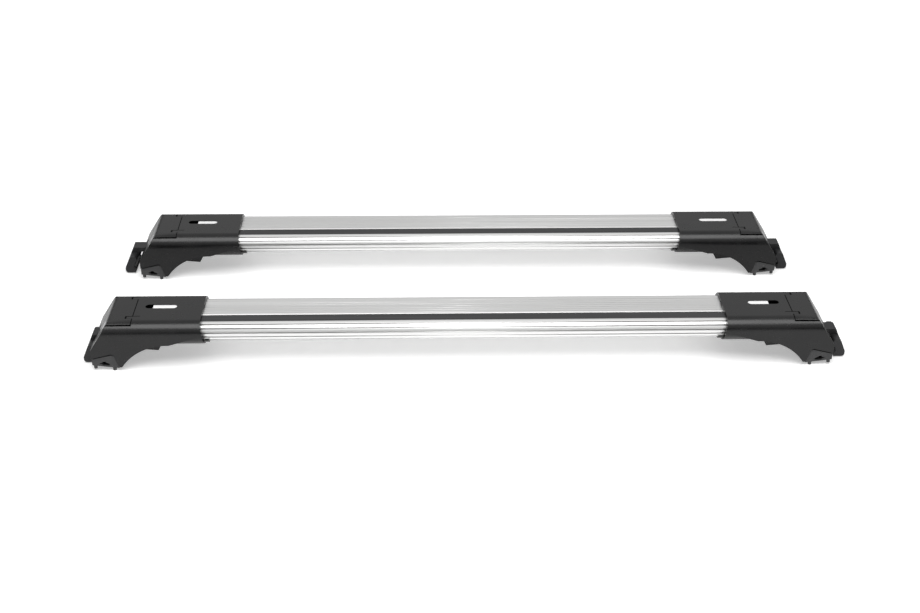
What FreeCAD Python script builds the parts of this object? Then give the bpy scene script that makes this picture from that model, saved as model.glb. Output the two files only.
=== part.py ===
"""Pair of roof crossbars: two wing-section bars on four lockable clamp feet.

A foot is drawn once in its own frame: X runs outward along the bar from the foot's inner top edge,
Y runs across the bar from its mid-chord with the rounded nose at -Y, and Z is the height above the ground.
"""
import FreeCAD, Part
import os
import re
import Sketcher
from FreeCAD import Vector

SIZES = [
    ("front_span", 700, "bare bar between the two front feet"),
    ("rear_span", 654, "bare bar between the two rear feet"),
    ("bar_pitch", 243, "distance between the two bars"),
    ("front_left_gap", 16.3, "bar end short of the sleeve's stop in each foot"),
    ("front_right_gap", 20.3, ""),
    ("rear_left_gap", 20, ""),
    ("rear_right_gap", 6, ""),
    ("front_left_jaw", -7.5, "how far each jaw stands out from its middle setting"),
    ("front_right_jaw", 0, ""),
    ("rear_left_jaw", 4, ""),
    ("rear_right_jaw", 0, ""),
    ("bar_chord", 80, "wing section"),
    ("bar_height", 27, ""),
    ("bar_base", 39, "underside of the bar above the ground"),
    ("bar_wall", 2.2, ""),
    ("tail_radius", 10, ""),
    ("tail_web", 14, "web between the two rear chambers"),
    ("ridge_radius", 0.8, "grooves round the nose"),
    ("ridge_pitch", 25, ""),
    ("line_radius", 0.4, "fine grooves on the top"),
    ("line_pitch", 5, ""),
    ("strip_setback", 14, "rubber strip behind the nose"),
    ("strip_width", 16, ""),
    ("strip_depth", 2.5, ""),
    ("slot_mouth", 10.5, "T-slot under the strip"),
    ("slot_lip", 2, ""),
    ("slot_width", 18, ""),
    ("slot_depth", 7.5, ""),
    ("bulb_width", 15, "foot of the strip inside the T-slot"),
    ("bulb_depth", 3, ""),
    ("label_start", 30, "white length scale on each bar end"),
    ("label_width", 12, ""),
    ("label_offset", 7, ""),
    ("label_thick", 2.8, ""),
    ("label_gap", 0.2, "room for the scale in the foot's top"),
    ("over", 1, "how far a cutting form runs past the surface"),
    ("sleeve_gap", 0.5, "foot round the bar"),
    ("foot_wall", 3.5, ""),
    ("top_length", 122, "foot's top from its inner edge to its sloped end"),
    ("sleeve_stop", 38, "end of the bar's sleeve inside the top's end"),
    ("inner_rake", 4.6, "sleeve's underside ahead of its top"),
    ("liner_reach", 6, "thin lip under the bar at the sleeve's mouth"),
    ("liner_thick", 1.4, ""),
    ("liner_height", 6, ""),
    ("end_rake", 33, "slope of the end face from upright"),
    ("crest_radius", 12, "round edge between top and end face"),
    ("knee_height", 32, ""),
    ("heel_height", 19.5, ""),
    ("pad_length", 35.7, "arch over the saddle pad, inside the end"),
    ("arch_height", 26.5, ""),
    ("arch_run", 9, ""),
    ("shoulder_run", 6, ""),
    ("shoulder_drop", 1.5, ""),
    ("toe_width", 4, ""),
    ("toe_height", 6, ""),
    ("belly_run", 64.4, "belly from the toe to the sleeve"),
    ("belly_height", 39.4, ""),
    ("belly_radius", 74, ""),
    ("window_inset", 48.5, "slot that shows the scale, inside the sleeve's stop"),
    ("window_length", 42.4, ""),
    ("window_width", 9.7, ""),
    ("bay_inset", 35, "compartment of the clamp, round the top's end"),
    ("bay_reach", 9, ""),
    ("bay_half", 35.5, ""),
    ("bay_floor", 42, ""),
    ("hatch_length", 32, "hatch over the compartment"),
    ("hatch_front", 36.2, ""),
    ("hatch_rear", 36, ""),
    ("hatch_wall", 3.2, ""),
    ("seam_gap", 1.1, ""),
    ("seam_line", 9, "short groove that runs inward from the seam"),
    ("seam_depth", 0.8, ""),
    ("hinge_inset", 5, "hinge of the hatch behind its seam"),
    ("hinge_room", 7.4, ""),
    ("knuckle_radius", 2, ""),
    ("pin_radius", 0.9, ""),
    ("pin_gap", 0.1, ""),
    ("pin_front", 26, ""),
    ("pin_rear", 33, ""),
    ("ear_front", 21, "ears of the foot that hold the pin"),
    ("ear_rear", 29, ""),
    ("ear_width", 5, ""),
    ("ear_gap", 0.7, ""),
    ("ear_drop", 0.3, ""),
    ("ear_foot", 2.6, ""),
    ("lock_offset", 25, "lock in the hatch's end"),
    ("lock_drop", 9, ""),
    ("lock_margin", 9.5, "hatch below the lock's axis"),
    ("lock_radius", 6, ""),
    ("lock_gap", 0.1, ""),
    ("lock_length", 7.5, ""),
    ("key_width", 1.4, ""),
    ("key_height", 7, ""),
    ("key_depth", 5, ""),
    ("cam_thick", 2, ""),
    ("cam_width", 8, ""),
    ("cam_reach", 12.5, ""),
    ("keeper_depth", 3.5, "recess behind the cam"),
    ("keeper_drop", 16, ""),
    ("keeper_rise", 3, ""),
    ("keeper_inset", 3, ""),
    ("jaw_out", 27.4, "clamp jaw outside the top's end, at its middle setting"),
    ("jaw_top", 28, ""),
    ("jaw_foot", 5, ""),
    ("jaw_lean", 24, ""),
    ("jaw_thick", 12, ""),
    ("jaw_half", 24, ""),
    ("jaw_round", 4, ""),
    ("jaw_in", 9, "travel inward from the middle setting"),
    ("jaw_room", 1, "clearance round the jaw"),
    ("hook_reach", 5, ""),
    ("hook_height", 6, ""),
    ("jaw_pad_drop", 4, "rubber face of the jaw"),
    ("jaw_pad_thick", 3.4, ""),
    ("jaw_pad_half", 22, ""),
    ("arm_half", 9, "arm that draws the jaw in"),
    ("arm_foot", 29, ""),
    ("arm_thick", 7, ""),
    ("arm_gap", 0.5, ""),
    ("neck_drop", 8, ""),
    ("lug_inset", 25, ""),
    ("lug_thick", 7, ""),
    ("lug_rise", 8, "lug above the bolt"),
    ("bolt_rise", 8, "clamp bolt above the compartment's floor"),
    ("bolt_radius", 4, ""),
    ("bolt_gap", 0.15, ""),
    ("bolt_length", 28.7, ""),
    ("bracket_inset", 8.5, "bracket that holds the bolt"),
    ("bracket_thick", 3, ""),
    ("bracket_rise", 8.5, ""),
    ("bracket_seat", 2, ""),
    ("flange_radius", 7.5, ""),
    ("flange_thick", 2, ""),
    ("head_radius", 6.5, ""),
    ("head_length", 6, ""),
    ("socket_flats", 6, ""),
    ("socket_depth", 4, ""),
    ("nut_width", 13, ""),
    ("nut_thick", 5, ""),
    ("saddle_foot", 4.5, "rubber saddle pad"),
    ("saddle_rise", 5, ""),
    ("saddle_inset", 1.5, ""),
    ("hollow_run", 10, "lens-shaped hollow through the pad"),
    ("hollow_length", 18, ""),
    ("hollow_base", 10, ""),
    ("hollow_rise", 2, ""),
    ("hollow_height", 4.5, ""),
    ("hollow_floor_radius", 18, ""),
    ("hollow_roof_radius", 11.2, ""),
    ("nub_run", 7, "nubs under the pad"),
    ("nub_step", 25, ""),
    ("nub_radius", 2.4, ""),
    ("nub_offset", 39.8, ""),
    ("nub_inner", 13, ""),
    ("nub_lift", 3.6, ""),
    ("nub_root", 3, ""),
    ("block_back", 33, "bar clamp block under the sleeve, about its stop"),
    ("block_nose", 21, ""),
    ("block_ahead", 16.8, ""),
    ("block_drop", 21.5, ""),
    ("block_rise", 3.5, ""),
    ("block_half", 14, ""),
    ("screw_back", 10, "bar clamp screw"),
    ("screw_radius", 3, ""),
    ("screw_head", 5, ""),
    ("screw_head_length", 5, ""),
    ("screw_depth", 14, ""),
    ("screw_gap", 0.2, ""),
    ("screw_clear", 0.3, ""),
]
BIG = "300"
BAR_TOP = "(bar_base + bar_height)"
FOOT_TOP = f"({BAR_TOP} + sleeve_gap + foot_wall)"
FOOT_BASE = "(bar_base - sleeve_gap - foot_wall)"
FOOT_SIDE = "(bar_chord / 2 + sleeve_gap + foot_wall)"
SLEEVE_STOP = "(top_length - sleeve_stop)"
BAY_START = "(top_length - bay_inset)"
BAY_END = "(top_length + bay_reach)"
HATCH_START = "(top_length - hatch_length)"
END_SLOPE = "tan(end_rake * 1 deg)"
END_OUT = f"(top_length + ({FOOT_TOP} - knee_height) * {END_SLOPE})"
TOE_OUTER = f"({END_OUT} - pad_length)"
TOE_INNER = f"({TOE_OUTER} - toe_width)"
PIN_PLACE = f"({HATCH_START} + seam_gap + hinge_inset)"
PIN_HEIGHT = f"({FOOT_TOP} - knuckle_radius)"
LOCK_HEIGHT = f"({FOOT_TOP} - lock_drop)"
HATCH_FOOT = f"({LOCK_HEIGHT} - lock_margin)"
STRIP_MIDDLE = "(strip_setback + strip_width / 2 - bar_chord / 2)"
BOLT_HEIGHT = "(bay_floor + bolt_rise)"
BRACKET_START = "(top_length - bracket_inset)"
BOLT_SEAT = f"({BRACKET_START} + bracket_thick)"
LUG_START = "(top_length - lug_inset)"
LUG_TOP = f"({BOLT_HEIGHT} + lug_rise)"
ARM_TOP = "(arm_foot + arm_thick)"
SCREW_PLACE = f"({SLEEVE_STOP} - screw_back)"
BLOCK_FOOT = f"({FOOT_BASE} - block_drop)"
SCREW_SEAT = f"({FOOT_BASE} - screw_depth)"
FUNCTIONS = ("tan", "sin", "cos", "sqrt", "deg")
NOSE_RIDGES = 6
TOP_LINES = 7
WORK_CELL = "F1"

doc = FreeCAD.newDocument("roof_crossbars")
sheet = doc.addObject("Spreadsheet::Sheet", "dims")
for row, (alias, value, meaning) in enumerate(SIZES, start=1):
    sheet.set(f"A{row}", meaning)
    sheet.set(f"B{row}", str(value))
    sheet.setAlias(f"B{row}", alias)
doc.recompute()


def bound(text):
    """Write a size such as 'bar_chord / 2' as an expression on the sheet."""
    return re.sub(r"[a-z][a-z_]*", lambda word: word[0] if word[0] in FUNCTIONS else "dims." + word[0], text)


def size(text):
    """Work a size out from the sheet's present values."""
    sheet.set(WORK_CELL, "=" + text)
    sheet.recompute()
    return float(sheet.get(WORK_CELL))


def outline(sketch, corners, arcs=None):
    """Close an outline through corners given as pairs of sizes; arcs holds {edge: (point on it, radius)}."""
    arcs = arcs or {}
    points = [Vector(size(across), size(up), 0) for across, up in corners]
    ends = []
    for index, start in enumerate(points):
        finish = points[(index + 1) % len(points)]
        if index in arcs:
            across, up = arcs[index][0]
            edge = sketch.addGeometry(Part.Arc(start, Vector(size(across), size(up), 0), finish), False)
        else:
            edge = sketch.addGeometry(Part.LineSegment(start, finish), False)
        first = 1 if sketch.getPoint(edge, 1).distanceToPoint(start) < 1e-4 else 2
        ends.append((edge, first, 3 - first))
    for index, (edge, first, last) in enumerate(ends):
        following, joined, _ = ends[(index + 1) % len(ends)]
        sketch.addConstraint(Sketcher.Constraint("Coincident", edge, last, following, joined))
        place = (points[index].x, points[index].y)
        for kind, text, value in zip(("DistanceX", "DistanceY"), corners[index], place):
            rule = sketch.addConstraint(Sketcher.Constraint(kind, -1, 1, edge, first, value))
            sketch.setExpression(f"Constraints[{rule}]", bound(text))
        if index in arcs:
            radius = arcs[index][1]
            rule = sketch.addConstraint(Sketcher.Constraint("Radius", edge, size(radius)))
            sketch.setExpression(f"Constraints[{rule}]", bound(radius))


def box_corners(left, foot, right, top):
    return [(left, foot), (right, foot), (right, top), (left, top)]


def sketch_in(body, name, plane):
    sketch = body.newObject("Sketcher::SketchObject", name)
    support = [item for item in body.Origin.OriginFeatures if item.Role == plane][0]
    sketch.AttachmentSupport = [(support, "")]
    sketch.MapMode = "FlatFace"
    return sketch


def move(item, **places):
    for axis, text in places.items():
        item.setExpression(f"Placement.Base.{axis}", bound(text))
    return item


def prism(name, plane, corners, length, arcs=None, both=True):
    """A body padded from one closed outline, to both sides of its plane or to one."""
    body = doc.addObject("PartDesign::Body", name)
    sketch = sketch_in(body, name + "_outline", plane)
    outline(sketch, corners, arcs)
    pad = body.newObject("PartDesign::Pad", name + "_pad")
    pad.Profile = sketch
    pad.setExpression("Length", bound(length))
    pad.SideType = "Symmetric" if both else "One side"
    return body


def block(name, low, high):
    """A rectangular block between two corners."""
    item = doc.addObject("Part::Box", name)
    for side, axis, start, finish in zip(("Length", "Width", "Height"), "xyz", low, high):
        item.setExpression(side, bound(f"{finish} - ({start})"))
        item.setExpression(f"Placement.Base.{axis}", bound(start))
    return item


def rod(name, radius, length, axis, place):
    """A round rod that starts at a place and runs along an axis."""
    item = doc.addObject("Part::Cylinder", name)
    item.setExpression("Radius", bound(radius))
    item.setExpression("Height", bound(length))
    item.Placement = FreeCAD.Placement(Vector(), FreeCAD.Rotation(Vector(0, 0, 1), axis))
    return move(item, x=place[0], y=place[1], z=place[2])


def fuse(name, *items):
    joined = doc.addObject("Part::MultiFuse", name)
    joined.Shapes = list(items)
    return joined


def common(name, *items):
    shared = doc.addObject("Part::MultiCommon", name)
    shared.Shapes = list(items)
    return shared


def cut(name, base, *tools):
    result = doc.addObject("Part::Cut", name)
    result.Base = base
    result.Tool = tools[0] if len(tools) == 1 else fuse(name + "_tools", *tools)
    return result


def pair(name, item):
    """The item and its mirror image across the bar's mid-chord."""
    image = doc.addObject("Part::Mirroring", name + "_image")
    image.Source = item
    image.Normal = Vector(0, 1, 0)
    return fuse(name, item, image)


X_AXIS = Vector(1, 0, 0)
Y_AXIS = Vector(0, 1, 0)
Z_AXIS = Vector(0, 0, 1)


def wing(inset):
    """The bar's outer section, or one inset from it or grown by a negative inset, as corners and arcs."""
    nose = f"(bar_height / 2 - ({inset}))"
    tail = f"(tail_radius - ({inset}))"
    middle = "bar_base + bar_height / 2"
    front = "bar_height / 2 - bar_chord / 2"
    rear = "bar_chord / 2 - tail_radius"
    top = f"{BAR_TOP} - ({inset})"
    foot = f"bar_base + {inset}"
    bend = f"{tail} * sqrt(0.5)"
    curl = f"{nose} * sqrt(0.5)"
    back = f"bar_chord / 2 - ({inset})"
    corners = [
        (front, top), (f"{front} - {nose}", middle), (front, foot), (rear, foot),
        (back, "bar_base + tail_radius"), (back, f"{BAR_TOP} - tail_radius"), (rear, top)]
    arcs = {
        0: ((f"{front} - {curl}", f"{middle} + {curl}"), nose),
        1: ((f"{front} - {curl}", f"{middle} - {curl}"), nose),
        3: ((f"{rear} + {bend}", f"bar_base + tail_radius - {bend}"), tail),
        5: ((f"{rear} + {bend}", f"{BAR_TOP} - tail_radius + {bend}"), tail)}
    return corners, arcs


def slot_in(body, name, corner_lists, arc_lists=None):
    """Cut outlines of a body's section through its whole length."""
    volume = body.Tip.Shape.Volume
    sketch = sketch_in(body, name, "YZ_Plane")
    for index, corners in enumerate(corner_lists):
        outline(sketch, corners, (arc_lists or {}).get(index))
    pocket = body.newObject("PartDesign::Pocket", name + "_pocket")
    pocket.Profile = sketch
    pocket.Type = "ThroughAll"
    pocket.Reversed = True
    doc.recompute()
    if pocket.Shape.Volume >= volume:
        raise ValueError(name + " cuts nothing")


def grooves_in(body):
    """Round-bottomed grooves: ridges round the nose and fine lines along the flat top."""
    sketch = sketch_in(body, body.Name + "_grooves", "YZ_Plane")
    nose_middle = ("bar_height / 2 - bar_chord / 2", "bar_base + bar_height / 2")
    places = []
    for step in range(1, NOSE_RIDGES + 1):
        turn = f"({step} * ridge_pitch * 1 deg)"
        places.append((f"{nose_middle[0]} - bar_height / 2 * sin{turn}",
                       f"{nose_middle[1]} + bar_height / 2 * cos{turn}", "ridge_radius"))
    for step in range(1, TOP_LINES + 1):
        across = f"strip_setback + strip_width - bar_chord / 2 + {step} * line_pitch"
        places.append((across, BAR_TOP, "line_radius"))
    for across, up, radius in places:
        middle = Vector(size(across), size(up), 0)
        circle = sketch.addGeometry(Part.Circle(middle, Z_AXIS, size(radius)), False)
        rules = [("DistanceX", across, middle.x), ("DistanceY", up, middle.y)]
        for kind, text, value in rules:
            rule = sketch.addConstraint(Sketcher.Constraint(kind, -1, 1, circle, 3, value))
            sketch.setExpression(f"Constraints[{rule}]", bound(text))
        rule = sketch.addConstraint(Sketcher.Constraint("Radius", circle, size(radius)))
        sketch.setExpression(f"Constraints[{rule}]", bound(radius))
    pocket = body.newObject("PartDesign::Pocket", body.Name + "_groove_pocket")
    pocket.Profile = sketch
    pocket.Type = "ThroughAll"
    pocket.Reversed = True


def strip_section():
    """Head flush with the bar's top, stem in the slot's mouth and a wider foot inside the slot."""
    half = {"head": "strip_width / 2", "stem": "slot_mouth / 2", "bulb": "bulb_width / 2"}
    under = f"{BAR_TOP} - strip_depth"
    lip = f"{under} - slot_lip"
    foot = f"{lip} - bulb_depth"
    right = [("head", BAR_TOP), ("head", under), ("stem", under), ("stem", lip), ("bulb", lip),
             ("bulb", foot)]
    corners = [(f"{STRIP_MIDDLE} + {half[part]}", height) for part, height in right]
    return corners + [(f"{STRIP_MIDDLE} - {half[part]}", height) for part, height in reversed(right)]


def slot_section():
    """T-slot with a shallow recess for the strip's head."""
    under = f"{BAR_TOP} - strip_depth"
    lip = f"{under} - slot_lip"
    foot = f"{lip} - slot_depth"
    half = {"head": "strip_width / 2", "stem": "slot_mouth / 2", "slot": "slot_width / 2"}
    right = [("head", f"{BAR_TOP} + over"), ("head", under), ("stem", under), ("stem", lip), ("slot", lip),
             ("slot", foot)]
    corners = [(f"{STRIP_MIDDLE} + {half[part]}", height) for part, height in right]
    return corners + [(f"{STRIP_MIDDLE} - {half[part]}", height) for part, height in reversed(right)]


def bar(name, length):
    """Hollow extrusion: nose chamber, chamber under the T-slot and two rear chambers."""
    corners, arcs = wing("0")
    body = prism(name, "YZ_Plane", corners, length, arcs, both=False)
    doc.recompute()
    slot_in(body, name + "_slot", [slot_section()])
    slot_floor = f"{BAR_TOP} - strip_depth - slot_lip - slot_depth"
    slot_front = f"{STRIP_MIDDLE} - slot_width / 2"
    slot_rear = f"{STRIP_MIDDLE} + slot_width / 2"
    inside, ceiling = "bar_base + bar_wall", f"{BAR_TOP} - bar_wall"
    nose, nose_middle = "(bar_height / 2 - bar_wall)", "bar_height / 2 - bar_chord / 2"
    nose_back = f"({slot_front} - bar_wall)"
    half_chord = f"sqrt({nose} * {nose} - ({nose_back} - ({nose_middle})) * ({nose_back} - ({nose_middle})))"
    nose_room = [(nose_back, f"bar_base + bar_height / 2 + {half_chord}"),
                 (nose_back, f"bar_base + bar_height / 2 - {half_chord}")]
    under_room = box_corners(slot_front, inside, slot_rear, f"{slot_floor} - bar_wall")
    middle_room = box_corners(f"{slot_rear} + bar_wall", inside, "tail_web - bar_wall / 2", ceiling)
    tail_corners, tail_arcs = wing("bar_wall")
    tail_room = [("tail_web + bar_wall / 2", ceiling), ("tail_web + bar_wall / 2", inside)] + tail_corners[3:]
    slot_in(body, name + "_chambers", [nose_room, under_room, middle_room, tail_room],
            {0: {0: ((f"{nose_middle} - {nose}", "bar_base + bar_height / 2"), nose)},
             3: {2: tail_arcs[3], 4: tail_arcs[5]}})
    grooves_in(body)
    return body


def foot_section(name, inset):
    """Section of the foot across the bar: round over the nose and tail, then straight down."""
    reach = f"(sleeve_gap + foot_wall - ({inset}))"
    nose, tail = f"(bar_height / 2 + {reach})", f"(tail_radius + {reach})"
    front, rear = "bar_height / 2 - bar_chord / 2", "bar_chord / 2 - tail_radius"
    middle, shoulder = "bar_base + bar_height / 2", f"{BAR_TOP} - tail_radius"
    corners = [
        (rear, f"{BAR_TOP} + {reach}"), (front, f"{BAR_TOP} + {reach}"), (f"{front} - {nose}", middle),
        (f"{front} - {nose}", "0"), (f"{rear} + {tail}", "0"), (f"{rear} + {tail}", shoulder)]
    arcs = {
        1: ((f"{front} - {nose} * sqrt(0.5)", f"{middle} + {nose} * sqrt(0.5)"), nose),
        5: ((f"{rear} + {tail} * sqrt(0.5)", f"{shoulder} + {tail} * sqrt(0.5)"), tail)}
    return move(prism(name, "YZ_Plane", corners, BIG, arcs, both=False), x="-inner_rake - over")


def foot_side(name):
    """Side view of the leg: round crest, sloped outer end, arch over the saddle pad, toe and hollow belly."""
    turn = "((90 - end_rake) / 2 * 1 deg)"
    run = f"(crest_radius * tan{turn})"
    belly_start = f"({TOE_INNER} - belly_run)"
    corners = [
        ("0", FOOT_TOP), (f"top_length - {run}", FOOT_TOP),
        (f"top_length + {run} * sin(end_rake * 1 deg)", f"{FOOT_TOP} - {run} * cos(end_rake * 1 deg)"),
        (END_OUT, "knee_height"), (END_OUT, "heel_height"),
        (f"{TOE_OUTER} + arch_run", "arch_height"),
        (f"{TOE_OUTER} + shoulder_run", "arch_height - shoulder_drop"),
        (TOE_OUTER, "toe_height"), (TOE_INNER, "toe_height"), (belly_start, "belly_height"),
        ("0", "bar_base + bar_height / 2")]
    crest = (f"top_length - {run} + crest_radius * sin{turn}", f"{FOOT_TOP} - crest_radius * (1 - cos{turn})")
    belly_side = f"(({TOE_INNER} - {belly_start}) / 2)"
    belly_fall = "((belly_height - toe_height) / 2)"
    half_chord = f"({belly_side} * {belly_side} + {belly_fall} * {belly_fall})"
    bulge = f"((belly_radius - sqrt(belly_radius * belly_radius - {half_chord})) / sqrt({half_chord}))"
    belly = (f"{belly_start} + {belly_side} + {bulge} * {belly_fall}",
             f"toe_height + {belly_fall} + {bulge} * {belly_side}")
    return prism(name, "XZ_Plane", corners, f"2 * {FOOT_SIDE}",
                 {1: (crest, "crest_radius"), 8: (belly, "belly_radius")})


def hatch_form(name, inset):
    """Inside of the hatch: the foot's top and sloped end moved inward by the inset."""
    tip = f"(top_length + {inset} * ({END_SLOPE} - 1 / cos(end_rake * 1 deg)))"
    foot = f"(top_length + {FOOT_TOP} * {END_SLOPE} - {inset} / cos(end_rake * 1 deg))"
    corners = [("0", "0"), (foot, "0"), (tip, f"{FOOT_TOP} - {inset}"), ("0", f"{FOOT_TOP} - {inset}")]
    side = prism(name + "_side", "XZ_Plane", corners, f"2 * {FOOT_SIDE}")
    return common(name, side, foot_section(name + "_section", inset))


def sloped(item, reach_in):
    """Stand an item square on the sloped end face at the lock's place, starting below the surface."""
    item.setExpression("Placement.Rotation.Angle", bound("-end_rake * 1 deg"))
    surface = f"top_length + ({FOOT_TOP} - {LOCK_HEIGHT}) * {END_SLOPE}"
    return move(item, x=f"{surface} - ({reach_in}) * cos(end_rake * 1 deg)", y="-lock_offset",
                z=f"{LOCK_HEIGHT} - ({reach_in}) * sin(end_rake * 1 deg)")


def lock_rod(name, radius, length):
    """A rod along the lock's axis, from its inner end to the hatch's outer surface."""
    body = doc.addObject("PartDesign::Body", name)
    sketch = sketch_in(body, name + "_outline", "YZ_Plane")
    circle = sketch.addGeometry(Part.Circle(Vector(), Z_AXIS, size(radius)), False)
    sketch.addConstraint(Sketcher.Constraint("Coincident", circle, 3, -1, 1))
    rule = sketch.addConstraint(Sketcher.Constraint("Radius", circle, size(radius)))
    sketch.setExpression(f"Constraints[{rule}]", bound(radius))
    pad = body.newObject("PartDesign::Pad", name + "_pad")
    pad.Profile = sketch
    pad.setExpression("Length", bound(length))
    body.Placement = FreeCAD.Placement(Vector(), FreeCAD.Rotation(Y_AXIS, 1))
    return sloped(body, length)


def window_slot(name, start, radius):
    """A slot with round ends through the foot's top, over the length scale."""
    finish = f"({start} + window_length)"
    bend = f"{radius} * sqrt(0.5)"
    front, rear = f"label_offset - {radius}", f"label_offset + {radius}"
    near, far = f"({start} + {radius})", f"({finish} - {radius})"
    corners = [(near, front), (far, front), (finish, "label_offset"), (far, rear), (near, rear),
               (start, "label_offset")]
    arcs = {
        1: ((f"{far} + {bend}", f"label_offset - {bend}"), radius),
        2: ((f"{far} + {bend}", f"label_offset + {bend}"), radius),
        4: ((f"{near} - {bend}", f"label_offset + {bend}"), radius),
        5: ((f"{near} - {bend}", f"label_offset - {bend}"), radius)}
    body = prism(name, "XY_Plane", corners, f"{FOOT_TOP} + over - {BAR_TOP}", arcs, both=False)
    return move(body, z=BAR_TOP)


def jaw_line(height, away="0"):
    """Place of the jaw's inner face at a height, moved away from the foot."""
    return f"(top_length + jaw_out + tan(jaw_lean * 1 deg) * (jaw_top - ({height})) + {away})"


def jaw_side():
    """Side view of the jaw: a leaning slab with round corners and a hook at its inner foot."""
    wide = "(jaw_round * tan((90 + jaw_lean) / 2 * 1 deg))"
    narrow = "(jaw_round * tan((90 - jaw_lean) / 2 * 1 deg))"
    fall = "cos(jaw_lean * 1 deg)"
    inner_bend, outer_bend = f"jaw_top - {wide} * {fall}", f"jaw_top - {narrow} * {fall}"
    foot_bend = f"jaw_foot + {wide} * {fall}"
    hook = jaw_line("jaw_foot", "-hook_reach")
    corners = [
        (jaw_line(inner_bend), inner_bend), (jaw_line("jaw_top", wide), "jaw_top"),
        (jaw_line("jaw_top", f"jaw_thick - {narrow}"), "jaw_top"),
        (jaw_line(outer_bend, "jaw_thick"), outer_bend), (jaw_line(foot_bend, "jaw_thick"), foot_bend),
        (jaw_line("jaw_foot", f"jaw_thick - {wide}"), "jaw_foot"),
        (hook, "jaw_foot"), (hook, "jaw_foot + hook_height / 2"),
        (jaw_line("jaw_foot + hook_height"), "jaw_foot + hook_height")]
    arcs = {
        0: ((jaw_line("jaw_top", f"{wide} / 4"), f"jaw_top - {wide} / 4"), "jaw_round"),
        2: ((jaw_line("jaw_top", f"jaw_thick - {narrow} / 4"), f"jaw_top - {narrow} / 4"), "jaw_round"),
        4: ((jaw_line("jaw_foot", f"jaw_thick - {wide} / 4"), f"jaw_foot + {wide} / 4"), "jaw_round")}
    return corners, arcs


side = foot_side("foot_side")
section = foot_section("foot_section", "0")
mouth = "-inner_rake - liner_reach - over"
sleeve_corners, sleeve_arcs = wing("-sleeve_gap - foot_wall")
sleeve_round = move(prism("sleeve_round", "YZ_Plane", sleeve_corners, BIG, sleeve_arcs, both=False), x=mouth)
sleeve_side = prism("sleeve_side", "XZ_Plane", [
    ("0", FOOT_TOP), (BAY_START, FOOT_TOP), (BAY_START, FOOT_BASE), ("-inner_rake", FOOT_BASE)],
    f"2 * {FOOT_SIDE}")
liner_corners, liner_arcs = wing("-sleeve_gap - liner_thick")
liner_round = move(prism("liner_round", "YZ_Plane", liner_corners, BIG, liner_arcs, both=False), x=mouth)
liner_box = block("liner_box", ("-inner_rake - liner_reach", f"-{FOOT_SIDE}", FOOT_BASE),
                  ("0", FOOT_SIDE, "bar_base + liner_height"))
foot_leg = common("foot_leg", side, section)
foot_sleeve = common("foot_sleeve", sleeve_side, sleeve_round)
foot_solid = fuse("foot_solid", foot_leg, foot_sleeve, common("sleeve_liner", liner_round, liner_box))
bore_corners, bore_arcs = wing("-sleeve_gap")
bore = prism("foot_bore", "YZ_Plane", bore_corners, f"{SLEEVE_STOP} - ({mouth})", bore_arcs, both=False)
move(bore, x=mouth)
channel_half = "(label_width / 2 + label_gap)"
scale_channel = block(
    "scale_channel", (mouth, f"label_offset - {channel_half}", "bar_base + bar_height / 2"),
    (SLEEVE_STOP, f"label_offset + {channel_half}", f"{BAR_TOP} + label_thick + label_gap"))
bay = block("foot_bay", (BAY_START, "-bay_half", "bay_floor"),
            (BAY_END, "bay_half", f"{FOOT_TOP} - foot_wall"))
pocket_in = "-jaw_in - jaw_pad_thick - jaw_room"
pocket_top = "jaw_top + jaw_room"
jaw_pocket = prism("foot_jaw_pocket", "XZ_Plane", [
    (jaw_line("0", pocket_in), "0"), (BIG, "0"), (BIG, pocket_top),
    (jaw_line(pocket_top, pocket_in), pocket_top)], "2 * (jaw_half + jaw_room)")
arm_slot = block("foot_arm_slot", (f"{BAY_START} + arm_gap", "-arm_half - arm_gap", "arm_foot - arm_gap"),
                 (BIG, "arm_half + arm_gap", "bay_floor + over"))
bracket_slot = block("foot_bracket_slot", (BRACKET_START, "-bay_half - bracket_seat", "bay_floor"),
                     (BOLT_SEAT, "bay_half + bracket_seat", f"{FOOT_TOP} - hatch_wall"))
window_start = f"({SLEEVE_STOP} - window_inset)"
window = window_slot("foot_window", window_start, "window_width / 2")
hatch_box = block("hatch_room_box", (HATCH_START, "-hatch_front - seam_gap", f"{HATCH_FOOT} - seam_gap"),
                  (BIG, "hatch_rear + seam_gap", f"{FOOT_TOP} + over"))
hatch_room = cut("hatch_room", hatch_box, hatch_form("hatch_ledge", "(hatch_wall + seam_gap)"))
hinge_room = block("hinge_room_box", (HATCH_START, "-hatch_front - seam_gap", f"{PIN_HEIGHT} - hinge_room"),
                   (f"{PIN_PLACE} + hinge_room", "hatch_rear + seam_gap", f"{FOOT_TOP} + over"))
groove_front = "(ear_width / 2 - ear_front)"
seam_groove = block(
    "seam_groove", (f"{HATCH_START} - seam_line", groove_front, f"{FOOT_TOP} - seam_depth"),
    (HATCH_START, f"{groove_front} + seam_gap", f"{FOOT_TOP} + over"))
keeper = block("lock_keeper",
               (f"{BOLT_SEAT} + over", "-bay_half - keeper_depth", f"{LOCK_HEIGHT} - keeper_drop"),
               (f"{BAY_END} - keeper_inset", "0", f"{LOCK_HEIGHT} + keeper_rise"))
screw_hole = rod("screw_hole", "screw_radius + screw_gap", "bar_height", Z_AXIS,
                 (SCREW_PLACE, "0", BLOCK_FOOT))
hollow_foot = cut("foot_hollow", foot_solid, bore, scale_channel, bay, jaw_pocket, arm_slot, bracket_slot,
                  window, hatch_room, hinge_room, seam_groove, keeper, screw_hole)


def ear_block(name, middle, gap, start, finish, foot, top):
    """A block across the hinge at an ear, wider than the ear by a gap on each side."""
    half = f"(ear_width / 2 + {gap})"
    return block(name, (start, f"{middle} - {half}", foot), (finish, f"{middle} + {half}", top))


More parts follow.
